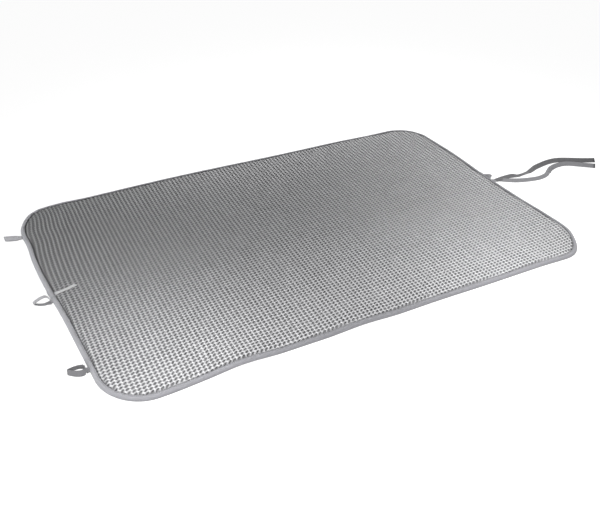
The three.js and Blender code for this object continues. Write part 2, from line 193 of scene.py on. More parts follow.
def net_cell():
    """One slit with its share of the strands round it: its rim, drawn out over the strands and under them."""
    bm = bmesh.new()
    bmesh.ops.create_circle(bm, segments=SLIT_SIDES, radius=1)
    rim = list(bm.edges)

    def drawn_out(edges):
        made = bmesh.ops.extrude_edge_only(bm, edges=edges)["geom"]
        ring = {g for g in made if isinstance(g, bmesh.types.BMVert)}
        return ring, [g for g in made if isinstance(g, bmesh.types.BMEdge) and ring.issuperset(g.verts)]

    slit = {v for edge in rim for v in edge.verts}
    crown, crown_edges = drawn_out(rim)
    top = drawn_out(crown_edges)[0]
    under = drawn_out(rim)[0]
    turned = Matrix.Rotation(SLIT_TURN, 2)
    stretch = turned @ Matrix(((SLIT_LENGTH / 2, 0), (0, SLIT_WIDTH / 2))) @ turned.transposed()
    rings = [(slit, 0, -FACE / 2), (crown, CROWN_SHARE, 0), (top, 1, 0), (under, 1, -FACE)]
    for ring, share, height in rings:
        for v in ring:
            way = v.co.xy
            side = [round(c / max(abs(way.x), abs(way.y))) for c in way]
            border = Vector((side[0] * COLUMN_PITCH / 2, side[1] * ROW_PITCH / 2))
            knot = KNOT_HEIGHT * share if all(side) and height == 0 else 0
            v.co = (*(stretch @ way).lerp(border, share), height + knot)
    bmesh.ops.recalc_face_normals(bm, faces=bm.faces)
    if sum(f.normal.z for f in bm.faces if f.calc_center_median().z > -FACE / 2) < 0:
        bmesh.ops.reverse_faces(bm, faces=bm.faces)
    return mesh_of(bm, "net_cell")


def repeated(cell):
    """The cell's mesh, repeated over the whole pad and joined, with its middle at the origin."""
    for axis, count, pitch in GRID:
        array = cell.modifiers.new("repeat", "ARRAY")
        array.count = count
        array.use_relative_offset = False
        array.use_constant_offset = True
        array.constant_offset_displace = [pitch if k == axis else 0 for k in range(3)]
        array.use_merge_vertices = True
        array.merge_threshold = CELL_JOIN
    mesh = bpy.data.meshes.new_from_object(cell.evaluated_get(bpy.context.evaluated_depsgraph_get()))
    bpy.data.objects.remove(cell)
    mesh.transform(Matrix.Translation((-(columns - 1) * COLUMN_PITCH / 2, -(rows - 1) * ROW_PITCH / 2, 0)))
    return mesh


def places(mesh):
    """The places of a mesh's points, as rows of x, y and z."""
    found = np.zeros(len(mesh.vertices) * 3, np.float32)
    mesh.vertices.foreach_get("co", found)
    return found.reshape(-1, 3).astype(float)


def upper_face():
    mesh = repeated(net_cell())
    flat = places(mesh)
    # How high each point stands on its knot, which sets the painted highlight of the knots
    knot_highlight = np.clip(flat[:, 2] / KNOT_HEIGHT, 0, 1)
    uneven = np.random.default_rng(YARN_SEED)
    flat[:, :2] += uneven.normal(0, UNEVEN, (len(flat), 2))
    for axis, count, pitch in GRID:
        middles = (np.arange(count) - (count - 1) / 2) * pitch
        flat[:, 2] += np.interp(flat[:, axis], middles, uneven.normal(0, STREAK, count))
    flat[:, :2] += flat[:, 1::-1] * [COLUMN_LEAN, ROW_LEAN]
    inset = inset_of(flat[:, 0], flat[:, 1])
    flat[:, 2] = np.where(inset < FLANGE + SEAT, np.minimum(flat[:, 2], 0), flat[:, 2])

    # What lies past the rim is drawn in onto it, where both sides of the strands meet, under the binding
    past = inset < NET_RIM
    core = np.stack([np.clip(flat[:, k], CORNER - HALF[k], HALF[k] - CORNER) for k in range(2)], 1)
    away = flat[:, :2] - core
    away *= ((CORNER - NET_RIM) / np.maximum(np.linalg.norm(away, axis=1), CORNER / 2))[:, None]
    flat[past, :2] = (core + away)[past]
    flat[past, 2] = -FACE / 2
    flat[:, 2] += fabric_top(np.maximum(inset, NET_RIM))
    mesh.vertices.foreach_set("co", settle(flat).astype(np.float32).ravel())
    # The painted highlight on the knots, and the painted shade of the groove beside the binding
    for name, values in (("knot_highlight", knot_highlight), ("groove_shade", np.interp(inset, GROOVE_SHADE_INSETS, (1, 0)))):
        mesh.attributes.new(name, "FLOAT", "POINT").data.foreach_set("value", values.astype(np.float32))

    bm = bmesh.new()
    bm.from_mesh(mesh)
    bpy.data.meshes.remove(mesh)
    bm.verts.ensure_lookup_table()
    outside = [f for f in bm.faces if all(past[v.index] for v in f.verts)]
    bmesh.ops.delete(bm, geom=outside, context="FACES")
    bmesh.ops.remove_doubles(bm, verts=[v for v in bm.verts if v.is_boundary], dist=RIM_JOIN)
    bmesh.ops.dissolve_degenerate(bm, edges=[e for e in bm.edges if e.is_boundary], dist=RIM_JOIN)
    return mesh_of(bm, "mesh_face")


mesh_face = upper_face()


def linear(colour):
    """An sRGB hex colour as the linear one that a shader takes."""
    parts = [int(colour[i:i + 2], 16) / 255 for i in (1, 3, 5)]
    return (*[c / 12.92 if c <= 0.04045 else ((c + 0.055) / 1.055) ** 2.4 for c in parts], 1)


def add_node(tree, kind, settings=None, inputs=None):
    """A new node with its settings, and its inputs set to values or linked to other nodes' sockets."""
    made = tree.nodes.new(kind)
    for name, value in (settings or {}).items():
        setattr(made, name, value)
    for name, value in (inputs or {}).items():
        if isinstance(value, bpy.types.NodeSocket):
            tree.links.new(value, made.inputs[name])
        else:
            made.inputs[name].default_value = value
    return made


def cloth(name, roughness, sheen):
    """A new material with a plain cloth shader, and that shader."""
    material = bpy.data.materials.new(name)
    material.use_nodes = True
    shader = material.node_tree.nodes["Principled BSDF"]
    shader.inputs["Roughness"].default_value = roughness
    shader.inputs["Sheen Weight"].default_value = sheen
    shader.inputs["Sheen Roughness"].default_value = 0.5
    return material, shader


# A Mix node has several sockets of each name, so those for colours are told by number: how much it takes of
# the second colour, the first, the second, and what comes out
MIX_SHARE, MIX_FIRST, MIX_SECOND, MIXED = 0, 6, 7, 2


def mixed(tree, share, first, second):
    """The colour between two, at a share of the way from the first to the second."""
    inputs = {MIX_SHARE: share, MIX_FIRST: first, MIX_SECOND: second}
    return add_node(tree, "ShaderNodeMix", {"data_type": "RGBA"}, inputs).outputs[MIXED]


# Textured polyester yarn, knitted: matt, with a faint sheen, and a shade lighter and darker from column to
# column, in streaks about eight times as long as they are wide. The loops of the knit are about 1.2 mm long.
KNIT_ROUGHNESS = 0.72
KNIT_SHEEN = 0.25
LOOP_PITCH = 0.0012
STREAK_RUN = 0.12
STREAK_SCALE = (1 / COLUMN_PITCH, STREAK_RUN / COLUMN_PITCH, STREAK_RUN / COLUMN_PITCH)

# A Wave texture at scale 1 repeats after this length
WAVE_LENGTH = math.pi / 10


def knitted_yarn(name, light, dark, relief, marks=()):
    """Each mark is an attribute of the mesh and the yarn's colour where that is 1."""
    material, shader = cloth(name, KNIT_ROUGHNESS, KNIT_SHEEN)
    tree = material.node_tree
    place = add_node(tree, "ShaderNodeTexCoord").outputs["Object"]
    stretched = add_node(tree, "ShaderNodeMapping", inputs={"Vector": place, "Scale": STREAK_SCALE})
    shade = add_node(tree, "ShaderNodeTexNoise", inputs={
        "Vector": stretched.outputs[0], "Scale": 1, "Detail": 4,
    })
    colour = mixed(tree, shade.outputs["Fac"], linear(dark), linear(light))
    for attribute, marked in marks:
        where = add_node(tree, "ShaderNodeAttribute", {"attribute_name": attribute})
        colour = mixed(tree, where.outputs["Fac"], colour, linear(marked))
    tree.links.new(colour, shader.inputs["Base Color"])
    size = WAVE_LENGTH / LOOP_PITCH
    drawn = add_node(tree, "ShaderNodeMapping", inputs={"Vector": place, "Scale": (size, size, size)})
    stitches = add_node(tree, "ShaderNodeTexWave", {"bands_direction": "DIAGONAL"}, {
        "Vector": drawn.outputs[0], "Scale": 1, "Distortion": 3, "Detail": 1, "Detail Scale": 1,
    })
    bump = add_node(tree, "ShaderNodeBump", inputs={
        "Height": stitches.outputs["Fac"], "Strength": 0.6, "Distance": relief,
    })
    tree.links.new(bump.outputs[0], shader.inputs["Normal"])
    return material


# The knots are thick, and are painted lighter than the thin strands: a painted highlight on the net's raised
# tops. Beside the binding the seam draws the strands down and together, and the shade of that groove is
# painted on them as a dark line.
mesh_face.data.materials.append(knitted_yarn(
    "knitted_polyester_net", "#a0a0a2", "#858587", 0.00012, [("knot_highlight", "#cececf"), ("groove_shade", "#454548")],
))
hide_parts("upper_mesh_face")
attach(mesh_face, "mat")

# Layer of upright yarns and lower knitted face
# Stiff single-filament yarns stand between the two faces and hold them apart, so steam passes. Only their
# shaded tops show, through the slits of the net. The lower face is a closed knit that lies on the table.
PILE_DROP = 0.0018
LAYER_STEP = 0.012
LAYER_INSETS = [
    fabric_edge, 0.005, FLANGE + SEAT, 0.0095, 0.011, 0.0125, 0.015, 0.035, 0.06, 0.09, 0.12, 0.15,
]

# Points of a skin nearer than this are one and the same
SAME_PLACE = 1e-7


def outline(step):
    """Points round the outline, corner by corner, and the way out at each. Each stretch has an even count."""
    points, ways = [], []
    for quarter in range(4):
        side = [(1, 1), (-1, 1), (-1, -1), (1, -1)][quarter]
        middle = (np.array(HALF) - CORNER) * side
        turns = 2 * round(CORNER * math.pi / 4 / step)
        angles = (quarter + np.arange(turns) / turns) * math.pi / 2
        way = np.stack([np.cos(angles), np.sin(angles)], 1)
        points.append(middle + CORNER * way)
        ways.append(way)
        long = 2 * (HALF[quarter % 2] - CORNER)
        parts = 2 * round(long / 2 / step)
        way = np.array([(0, 1), (-1, 0), (0, -1), (1, 0)][quarter])
        run = np.array([-way[1], way[0]])
        points.append(middle + CORNER * way + run * (long * np.arange(parts) / parts)[:, None])
        ways.append(np.tile(way, (parts, 1)))
    return np.concatenate(points), np.concatenate(ways)


def skin(name, drawn, closes=False, size=None):
    """Rings of points joined into one closed skin, with a UV map along and around it, in metres."""
    along = len(drawn) if closes else len(drawn) - 1
    around = len(drawn[0])
    bm = bmesh.new()
    uv = bm.loops.layers.uv.new("UVMap")
    bmesh.ops.create_grid(bm, x_segments=along, y_segments=around, size=1, calc_uvs=True)
    for v in bm.verts:
        i, j = round((v.co.x + 1) / 2 * along), round((v.co.y + 1) / 2 * around)
        v.co = drawn[i % len(drawn)][j % around]
    if size:
        for loop in (loop for f in bm.faces for loop in f.loops):
            loop[uv].uv = (loop[uv].uv[0] * size[0], loop[uv].uv[1] * size[1])
    bmesh.ops.remove_doubles(bm, verts=bm.verts, dist=SAME_PLACE)
    bmesh.ops.holes_fill(bm, edges=[e for e in bm.edges if e.is_boundary], sides=0)
    bmesh.ops.recalc_face_normals(bm, faces=bm.faces)
    return mesh_of(bm, name)


def layer(name, top_of, bottom_of):
    """A closed layer of the fabric between two heights, drawn as rings in from the outline."""
    flat, ways = outline(LAYER_STEP)
    rings = [*((i, top_of) for i in reversed(LAYER_INSETS)), *((i, bottom_of) for i in LAYER_INSETS)]
    drawn = []
    for inset, height_of in rings:
        ring = flat - ways * min(inset, CORNER / 2)
        deeper = max(inset - CORNER / 2, 0)
        ring = ring * [1 - deeper / (half - CORNER / 2) for half in HALF]
        heights = np.full(len(ring), float(height_of(np.array(inset))))
        drawn.append(settle(np.column_stack([ring, heights])))
    return skin(name, drawn)


pile = layer(
    "pile",
    lambda inset: fabric_top(inset) - PILE_DROP,
    lambda inset: fabric_bottom(inset) + FACE + SEAT,
)
pile.data.materials.append(knitted_yarn("upright_filament_pile", "#7d7d7f", "#69696b", 0.0004))
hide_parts("spacer_yarn_core")
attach(pile, "mat")

lower_face = layer("lower_face", lambda inset: fabric_bottom(inset) + FACE, fabric_bottom)
lower_face.data.materials.append(knitted_yarn("knitted_polyester_back", "#a6a6a9", "#8d8d91", 0.0003))
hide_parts("lower_mesh_face")
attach(lower_face, "mat")

# Edge binding
# One woven polyester tape, folded over the raw edge and sewn through all three layers with a lockstitch. The
# stitches pull its upper side down in a trough of small dimples, and its end lies over its start by the
# label.
STITCH_PITCH = 0.0032
SEAM_INSET = 0.0062
DIMPLE = 0.0002
TROUGH_DEPTH = 0.0003
TROUGH_INNER = 0.0007
TROUGH_OUTER = 0.0006
BESIDE_RISE = 0.0002
CREST_INSET = 0.0048
CREST_RISE = 0.0040
CREST_PARTS = 7
FOOT_ROUND = 0.0013
FOOT_PARTS = 4
BINDING_GIRTH = 0.040
LAP_MIDDLE = 0.008
LAP_LENGTH = 0.028
trough = EDGE_HEIGHT - SEAM_PINCH - TROUGH_DEPTH

# The tape's two edges are rounded, and its inner side turns down with the round of its outer one
RIM_WIDTH = 0.0003
UPPER_RIM_DROP = TAPE * 0.35
LOWER_RIM_LIFT = TAPE * 0.2
SHOULDER_DROP = TAPE * 1.6

# Small waves along the tape, which the seam puckers, twice as high round the corners
PUCKER = 0.00013
PUCKER_LENGTHS = (0.0047, 0.0074, 0.0126)


def binding_section(grow, dimple, pucker):
    """The U of the folded tape, as insets from the outline and heights, from its upper inner edge round."""
    lip = EDGE_HEIGHT - SEAM_PINCH + grow
    outer = [
        (FLANGE, lip - UPPER_RIM_DROP),
        (FLANGE - RIM_WIDTH, lip + BESIDE_RISE + pucker),
        (SEAM_INSET + TROUGH_INNER, trough + grow),
        (SEAM_INSET, trough + grow - dimple),
        (SEAM_INSET - TROUGH_OUTER, trough + grow + BESIDE_RISE + pucker / 2),
    ]
    for k in range(CREST_PARTS + 1):
        angle = k / CREST_PARTS * math.pi / 2
        outer.append((
            CREST_INSET - (CREST_INSET + grow) * math.sin(angle),
            EDGE_HEIGHT - CREST_RISE + (CREST_RISE + grow + pucker) * math.cos(angle),
        ))
    for k in range(FOOT_PARTS + 1):
        angle = k / FOOT_PARTS * math.pi / 2
        outer.append((
            FOOT_ROUND - (FOOT_ROUND + grow) * math.cos(angle),
            FOOT_ROUND * (1 - math.sin(angle)),
        ))
    inner = [
        (SEAM_INSET, 0),
        (FLANGE, LOWER_RIM_LIFT),
        (FLANGE, TAPE),
        (TAPE, TAPE),
        (TAPE, EDGE_HEIGHT / 2),
        (CREST_INSET / 2, EDGE_HEIGHT - SHOULDER_DROP),
        (CREST_INSET, EDGE_HEIGHT - TAPE),
        (FLANGE, lip - grow - TAPE),
    ]
    return np.array([*outer, *inner])


def lapped(point):
    """The extra thickness where the binding's end lies over its start."""
    return TAPE if point[0] < 0 and abs(point[1] - LAP_MIDDLE) < LAP_LENGTH / 2 else 0


def binding():
    """Every second section is at a needle hole's dimple."""
    edge, ways = outline(STITCH_PITCH / 2)
    along = np.arange(len(edge)) * STITCH_PITCH / 2
    waves = sum(np.sin(along / length + length / PUCKER) for length in PUCKER_LENGTHS) / 2
    at_corner = np.abs(ways[:, 0] * ways[:, 1]) > 0
    puckers = PUCKER * waves * np.where(at_corner, 2, 1)
    drawn = []
    for k, (point, way) in enumerate(zip(edge, ways)):
        section = binding_section(lapped(point), DIMPLE * (k % 2), puckers[k])
        flat = point - section[:, :1] * way
        drawn.append(settle(np.column_stack([flat, section[:, 1]])))
    return skin("binding", drawn, closes=True, size=(len(edge) * STITCH_PITCH / 2, BINDING_GIRTH))


binding_tape = binding()

# Seam thread
# The lockstitch on top of the binding: one short bead of thread from each needle hole to the next, a little
# proud of the trough in which it lies.
THREAD_HALF = 0.00035
THREAD_FLAT = 0.7
THREAD_PROUD = 0.2
BEAD_HALF_SHARE = 0.44


def seam():
    edge, ways = outline(STITCH_PITCH / 2)
    bm = bmesh.new()
    for point, way in zip(edge[::2], ways[::2]):
        place = point - way * SEAM_INSET
        height = trough + lapped(point) + THREAD_HALF * THREAD_PROUD
        middle = settle(np.array([[*place, height]]))[0]
        turn = Matrix.Rotation(math.atan2(way[0], -way[1]), 4, "Z")
        size = Matrix.Diagonal((STITCH_PITCH * BEAD_HALF_SHARE, THREAD_HALF, THREAD_HALF * THREAD_FLAT, 1))
        bead = Matrix.Translation(middle) @ turn @ size
        bmesh.ops.create_icosphere(bm, subdivisions=1, radius=1, matrix=bead)
    return mesh_of(bm, "seam_thread")


seam_thread = seam()

# Woven polyester tape: fine ribs across it, each a thread wide, over lengthwise threads. It is matt with a
# soft sheen, and its ribs are drawn at 0.9 mm so that they show.
TAPE_ROUGHNESS = 0.78
TAPE_SHEEN, SATIN_SHEEN = 0.3, 0.5
BLOTCH_SCALE = 160
RIB_PITCH = 0.0009
WARP_PITCH = 0.0011
WEAVE_RELIEF = 0.0002


def woven_tape(name, light, dark, sheen=TAPE_SHEEN, mark=None):
    """Mark is a darker place: its axis on the tape, where it is full, where it has gone, and its colour."""
    material, shader = cloth(name, TAPE_ROUGHNESS, sheen)
    tree = material.node_tree
    place = add_node(tree, "ShaderNodeTexCoord").outputs["UV"]
    shade = add_node(tree, "ShaderNodeTexNoise", inputs={"Vector": place, "Scale": BLOTCH_SCALE, "Detail": 5})
    colour = mixed(tree, shade.outputs["Fac"], linear(dark), linear(light))
    if mark:
        axis, full, gone, marked = mark
        apart = add_node(tree, "ShaderNodeSeparateXYZ", inputs={0: place})
        cleared = add_node(tree, "ShaderNodeMapRange", {"interpolation_type": "SMOOTHSTEP"}, {
            "Value": apart.outputs[axis], "From Min": full, "From Max": gone,
        })
        colour = mixed(tree, cleared.outputs[0], linear(marked), colour)
    tree.links.new(colour, shader.inputs["Base Color"])
    size = (WAVE_LENGTH / RIB_PITCH, WAVE_LENGTH / WARP_PITCH, 1)
    drawn = add_node(tree, "ShaderNodeMapping", inputs={"Vector": place, "Scale": size})
    ribs, warps = [
        add_node(tree, "ShaderNodeTexWave", {"bands_direction": axis}, {
            "Vector": drawn.outputs[0], "Scale": 1, "Distortion": 0.4, "Detail": 1,
        })
        for axis in "XY"
    ]
    weave = add_node(tree, "ShaderNodeMath", {"operation": "MULTIPLY"}, {
        0: ribs.outputs["Fac"], 1: warps.outputs["Fac"],
    })
    bump = add_node(tree, "ShaderNodeBump", inputs={
        "Height": weave.outputs[0], "Strength": 0.5, "Distance": WEAVE_RELIEF,
    })
    tree.links.new(bump.outputs[0], shader.inputs["Normal"])
    return material


binding_tape.data.materials.append(woven_tape("woven_binding_tape", "#848488", "#747478"))
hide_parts("edge_binding")
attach(binding_tape, "mat")

# Spun polyester sewing thread, twisted: matt, and a shade darker than the tape, partly its own tone and
# partly painted shade of the trough in which it lies
seam_thread.data.materials.append(knitted_yarn("spun_sewing_thread", "#68686c", "#57575b", 0.0001))
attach(seam_thread, "mat")

# Tape loops
# The loops and ties are one woven tape, 12 mm wide. Each loop is a short length folded double, its ends sewn
# into the edge together, and it has stayed as it was last pressed: flat, standing open, or twisted on its
# edge.
TAPE_WIDTH = 0.012
TAPE_THICK = 0.001
LOOP_LENGTH = 0.032
LOOP_POINTS = 25
STEM_POINTS = 5
TABLE_CLEAR = 0.0002
ROOT_HEIGHT = EDGE_HEIGHT / 2
ROOT_RADIUS = TAPE_THICK + SEAT / 2

# A tape's soft edge, as how far in from it and how far off the tape's middle each point is, and the tape's
# thinner middle, all as shares of half its thickness
SOFT_EDGE = [(0, 0), (0.6, 0.75), (1.6, 1)]
THIN_MIDDLE = 0.9


def tape_section(width, thick):
    """A flat tape's section with soft edges: how far across it and off its middle each point is."""
    half, off = width / 2, thick / 2
    side = [(half - off * inward, off * out) for inward, out in SOFT_EDGE]
    side += [(half / 2, off * THIN_MIDDLE), (0, off * THIN_MIDDLE)]
    upper = [*side, *((-a, o) for a, o in reversed(side[:-1]))]
    return np.array([*upper, *((a, -o) for a, o in reversed(upper[1:-1]))])


def sewn_line(way, inset, place, width):
    """Middle and turn of the straight line across a piece sewn to a short edge."""
    x = way * (HALF[0] - inset)
    low, high = settle(np.array([[x, place + side * width / 2, ROOT_HEIGHT] for side in (-1, 1)]))
    return (low + high) / 2, math.atan2(low[0] - high[0], high[1] - low[1])


def along_run(points):
    """The way along a line at each of its points."""
    ahead = np.gradient(points, axis=0)
    return ahead / np.linalg.norm(ahead, axis=1)[:, None]


def tape_loop(name, place, spread, stem_run, twist_run, roll, lean, swing, creased):
    """A loop drawn as a drop with a stem, or with a creased tip, then rolled and swung, its sides leaning.

    The roll comes in over the length twist_run."""
    neck = (TAPE_THICK + SEAT) / 2
    run = LOOP_LENGTH - stem_run - TAPE_THICK / 2

    # The sine curve of a drop is at most 4 / (3 sqrt 3) wide
    wide = (spread / 2 - TAPE_THICK / 2 - neck) * 3 * math.sqrt(3) / 4

    def middle(share):
        angle = share * np.pi
        out = stem_run + run * (1 - np.cos(angle)) / 2
        if creased:
            off = neck * ease((np.pi - angle) * 2) + wide * np.sin(angle) * np.cos(angle / 2)
        else:
            off = neck * np.cos(angle / 2) ** 2 + wide * np.sin(angle) * np.sin(angle / 2)
        return np.stack([out, off], -1)

    def turn_at(along, up):
        return (roll - lean * up / (spread / 2)) * ease((along - ROOT_RADIUS) / twist_run)

    def reach_of(up, turn):
        return TAPE_WIDTH / 2 * np.abs(np.sin(turn)) - up * np.cos(turn)

    def lowest(along, half):
        sides = (half, half - TAPE_THICK, TAPE_THICK - half, -half)
        return np.max([reach_of(up, turn_at(along, up)) for up in sides], axis=0)

    half = middle(np.linspace(0, 1, LOOP_POINTS))
    stem = np.array([[x, neck] for x in np.linspace(-ROOT_RADIUS, stem_run, STEM_POINTS)[:-1]])
    line = np.concatenate([stem, half, half[-2::-1] * [1, -1], stem[::-1] * [1, -1]])
    section = tape_section(TAPE_WIDTH, TAPE_THICK)
    rest = TABLE_CLEAR + float(lowest(LOOP_LENGTH, spread / 2))
    root, turn = sewn_line(-1, 0, place, TAPE_WIDTH)
    out = np.array([-math.cos(turn), -math.sin(turn), 0])
    root = root + out * (SEAT + ROOT_RADIUS)
    beside = np.array([out[1], -out[0], 0])
    drawn = []
    for point, way in zip(line, along_run(line)):
        along, up = (point + section[:, 1:] * [-way[1], way[0]]).T
        across = section[:, 0]
        twist = turn_at(along, up)
        share = np.arccos(np.clip(1 - 2 * (along - stem_run) / run, -1, 1)) / np.pi
        reach = np.maximum(lowest(along, middle(share)[:, 1] + TAPE_THICK / 2), reach_of(up, twist))
        eased = ROOT_HEIGHT + (rest - ROOT_HEIGHT) * ease(along / (LOOP_LENGTH / 2))
        swung = swing * (np.maximum(along, 0) / LOOP_LENGTH) ** 2
        sideways = across * np.cos(twist) + up * np.sin(twist) + swung
        middle_height = np.maximum(eased, TABLE_CLEAR + reach) - ROOT_HEIGHT
        height = up * np.cos(twist) - across * np.sin(twist) + middle_height
        drawn.append(root + along[:, None] * out + sideways[:, None] * beside + height[:, None] * [0, 0, 1])
    long = np.linalg.norm(np.diff(line, axis=0), axis=1).sum()
    return skin(name, drawn, size=(long, 2 * (TAPE_WIDTH + TAPE_THICK)))


# The near loop is the same tape as the others, painted a darker grey as painted shade
grey_tape = woven_tape("woven_grey_tape", "#87878a", "#737376")
shaded_tape = woven_tape("woven_tape_painted_shade", "#6b6b6e", "#5a5a5d")

# How far in from the long edges the middles of the outer loops are sewn in
FAR_INSET, NEAR_INSET = 0.098, 0.103
LOOPS = {
    "far_loop": (grey_tape, dict(
        name="far_tape_loop", place=HALF[1] - FAR_INSET, spread=0.0044, stem_run=0.005, twist_run=0.010,
        roll=math.radians(-20), lean=0, swing=0.007, creased=False,
    )),
    "middle_loop": (grey_tape, dict(
        name="middle_tape_loop", place=-0.0122, spread=0.0155, stem_run=0.0015, twist_run=0.010,
        roll=math.radians(12), lean=0, swing=0, creased=True,
    )),
    "near_loop": (shaded_tape, dict(
        name="near_tape_loop", place=NEAR_INSET - HALF[1], spread=0.017, stem_run=0.003, twist_run=0.006,
        roll=math.radians(-95), lean=math.radians(-15), swing=0.006, creased=True,
    )),
}
loops = []
for node, (tape, shape) in LOOPS.items():
    loop = tape_loop(**shape)
    loops.append(loop)
    loop.data.materials.append(tape)
    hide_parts(node)
    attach(loop, node + "_body")

# Label
# A bare satin ribbon, folded in half, with its two ends sewn in at the binding's inner edge. It lies on the
# net and is tilted a little, its near side up.
LABEL_LENGTH = 0.041
LABEL_WIDTH = 0.011
LABEL_THICK = 0.0007
LABEL_PLY = 0.0003
LABEL_PLACE = 0.001
LABEL_SWING = 0.007
LABEL_POINTS = 25
FOLD_PARTS = 4

# The tilt is this share of a half wave along the label: full just before its middle, and less at its fold
LABEL_TILT = math.radians(19)
TILT_SHARE = 0.75


def ribbon(name, points, across, section, size=None, shares=None):
    """A flat tape along a line of points, with the way across it and perhaps a share of its width at each."""
    shares = np.ones(len(points)) if shares is None else shares
    drawn = []
    for point, way, side, share in zip(points, along_run(points), across, shares):
        drawn.append(point + section[:, :1] * share * side + section[:, 1:] * np.cross(way, side))
    return skin(name, drawn, size=size)


def level_sides(points, rolls):
    """The ways across a tape on the table, rolled about its run by an angle at each point."""
    ahead = along_run(points)
    level = np.stack([-ahead[:, 1], ahead[:, 0], 0 * ahead[:, 0]], 1)
    level /= np.linalg.norm(level, axis=1)[:, None]
    return level * np.cos(rolls)[:, None] + np.cross(ahead, level) * np.sin(rolls)[:, None]


def label():
    share = np.linspace(0, 1, LABEL_POINTS)
    tilt = LABEL_TILT * np.sin(np.pi * np.sqrt(share) * TILT_SHARE)
    root_height = EDGE_HEIGHT + SEAT + LABEL_THICK / 2
    rise = THICKNESS + KNOT_HEIGHT + LABEL_THICK / 2 - root_height
    height = root_height + rise * ease(share) + LABEL_WIDTH / 2 * np.sin(tilt)
    middle, turn = sewn_line(-1, FLANGE, LABEL_PLACE, LABEL_WIDTH)
    x, y = SEAT + LABEL_THICK / 2 + LABEL_LENGTH * share, LABEL_SWING * share * share
    cos, sin = math.cos(turn), math.sin(turn)
    line = np.stack([middle[0] + x * cos - y * sin, middle[1] + x * sin + y * cos, height], 1)
    across = level_sides(line, -tilt)

    # Both plies, joined by the fold at its far end
    apart = (LABEL_THICK - LABEL_PLY) / 2
    ahead = along_run(line)
    up = np.cross(ahead, across)
    turns = np.linspace(0, np.pi, FOLD_PARTS + 2)[1:-1]
    fold = [line[-1] + apart * (ahead[-1] * np.sin(a) - up[-1] * np.cos(a)) for a in turns]
    plies = np.concatenate([line - apart * up, fold, (line + apart * up)[::-1]])
    sides = np.concatenate([across, np.tile(across[-1], (FOLD_PARTS, 1)), across[::-1]])
    section = tape_section(LABEL_WIDTH, LABEL_PLY)
    return ribbon("label", plies, sides, section, (2 * LABEL_LENGTH, 2 * LABEL_WIDTH))


blank_label = label()
blank_label.data.materials.append(woven_tape("satin_ribbon", "#f2f2f3", "#e6e6e8", SATIN_SHEEN))
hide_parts("blank_label")
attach(blank_label, "label_body")

# Tie tape
# One length of the loops' tape, sewn into the far short edge at its middle, so that two ends of just under
# 30 cm tie the rolled pad. A slack fold of it stands along the edge, and both ends lie on the table, half
# twisted.
TIE_POINTS = 140
ROUTE_PARTS = 16
ROLL_BLUR = 6
SEALED_END = 0.005
FIRST_TIE = [
    (0.5095, -0.0080, 0.0020), (0.5160, -0.0080, 0.0020), (0.5240, -0.0078, 0.0020),
    (0.5330, -0.0081, 0.0020), (0.5430, -0.0089, 0.0019), (0.5540, -0.0102, 0.0015),
    (0.5650, -0.0114, 0.0010), (0.5770, -0.0127, 0.0008), (0.5900, -0.0124, 0.0008),
    (0.6030, -0.0103, 0.0008), (0.6160, -0.0070, 0.0008), (0.6300, -0.0028, 0.0008),
    (0.6460, 0.0002, 0.0008), (0.6640, 0.0034, 0.0008), (0.6840, 0.0046, 0.0008),
    (0.6980, 0.0035, 0.0008), (0.7110, -0.0003, 0.0008), (0.7240, -0.0068, 0.0008),
    (0.7370, -0.0143, 0.0008), (0.7560, -0.0250, 0.0008), (0.7710, -0.0320, 0.0008),
    (0.7850, -0.0380, 0.0008),
]
SECOND_TIE = [
    (0.5095, -0.0080, 0.0007), (0.5140, -0.0080, 0.0007), (0.5210, -0.0116, 0.0007),
    (0.5300, -0.0186, 0.0007), (0.5390, -0.0254, 0.0007), (0.5490, -0.0313, 0.0007),
    (0.5600, -0.0356, 0.0007), (0.5770, -0.0404, 0.0007), (0.5980, -0.0442, 0.0007),
    (0.6140, -0.0440, 0.0007), (0.6290, -0.0400, 0.0007), (0.6450, -0.0318, 0.0007),
    (0.6590, -0.0242, 0.0007), (0.6730, -0.0192, 0.0007), (0.6890, -0.0172, 0.0007),
    (0.7040, -0.0186, 0.0007), (0.7190, -0.0254, 0.0007), (0.7330, -0.0364, 0.0007),
    (0.7480, -0.0484, 0.0007), (0.7640, -0.0610, 0.0007),
]

# How far the tape is rolled at shares of its length, in degrees, its far side up where that is positive
FIRST_ROLLS = [
    (0, 0), (0.08, 10), (0.17, 24), (0.24, -10), (0.31, -10), (0.37, 12), (0.44, 36), (0.6, 38),
    (0.85, 38), (1, 34),
]
SECOND_ROLLS = [
    (0, 0), (0.08, 12), (0.14, 22), (0.25, 20), (0.4, 14), (0.46, 10), (0.51, -22), (0.55, 40),
    (0.61, 30), (0.8, 32), (1, 34),
]


def smooth_line(points, count):
    """Points evenly along a smooth curve through those given."""
    curve = bpy.data.curves.new("route", "CURVE")
    curve.dimensions = "3D"
    curve.resolution_u = ROUTE_PARTS
    spline = curve.splines.new("BEZIER")
    spline.bezier_points.add(len(points) - 1)
    for knot, point in zip(spline.bezier_points, points):
        knot.co = point
        knot.handle_left_type = knot.handle_right_type = "AUTO"
    holder = bpy.data.objects.new("route", curve)
    drawn = np.array([v.co for v in bpy.data.meshes.new_from_object(holder).vertices])
    bpy.data.objects.remove(holder)
    along = np.concatenate([[0], np.cumsum(np.linalg.norm(np.diff(drawn, axis=0), axis=1))])
    at = np.linspace(0, along[-1], count)
    return np.stack([np.interp(at, along, drawn[:, k]) for k in range(3)], 1)


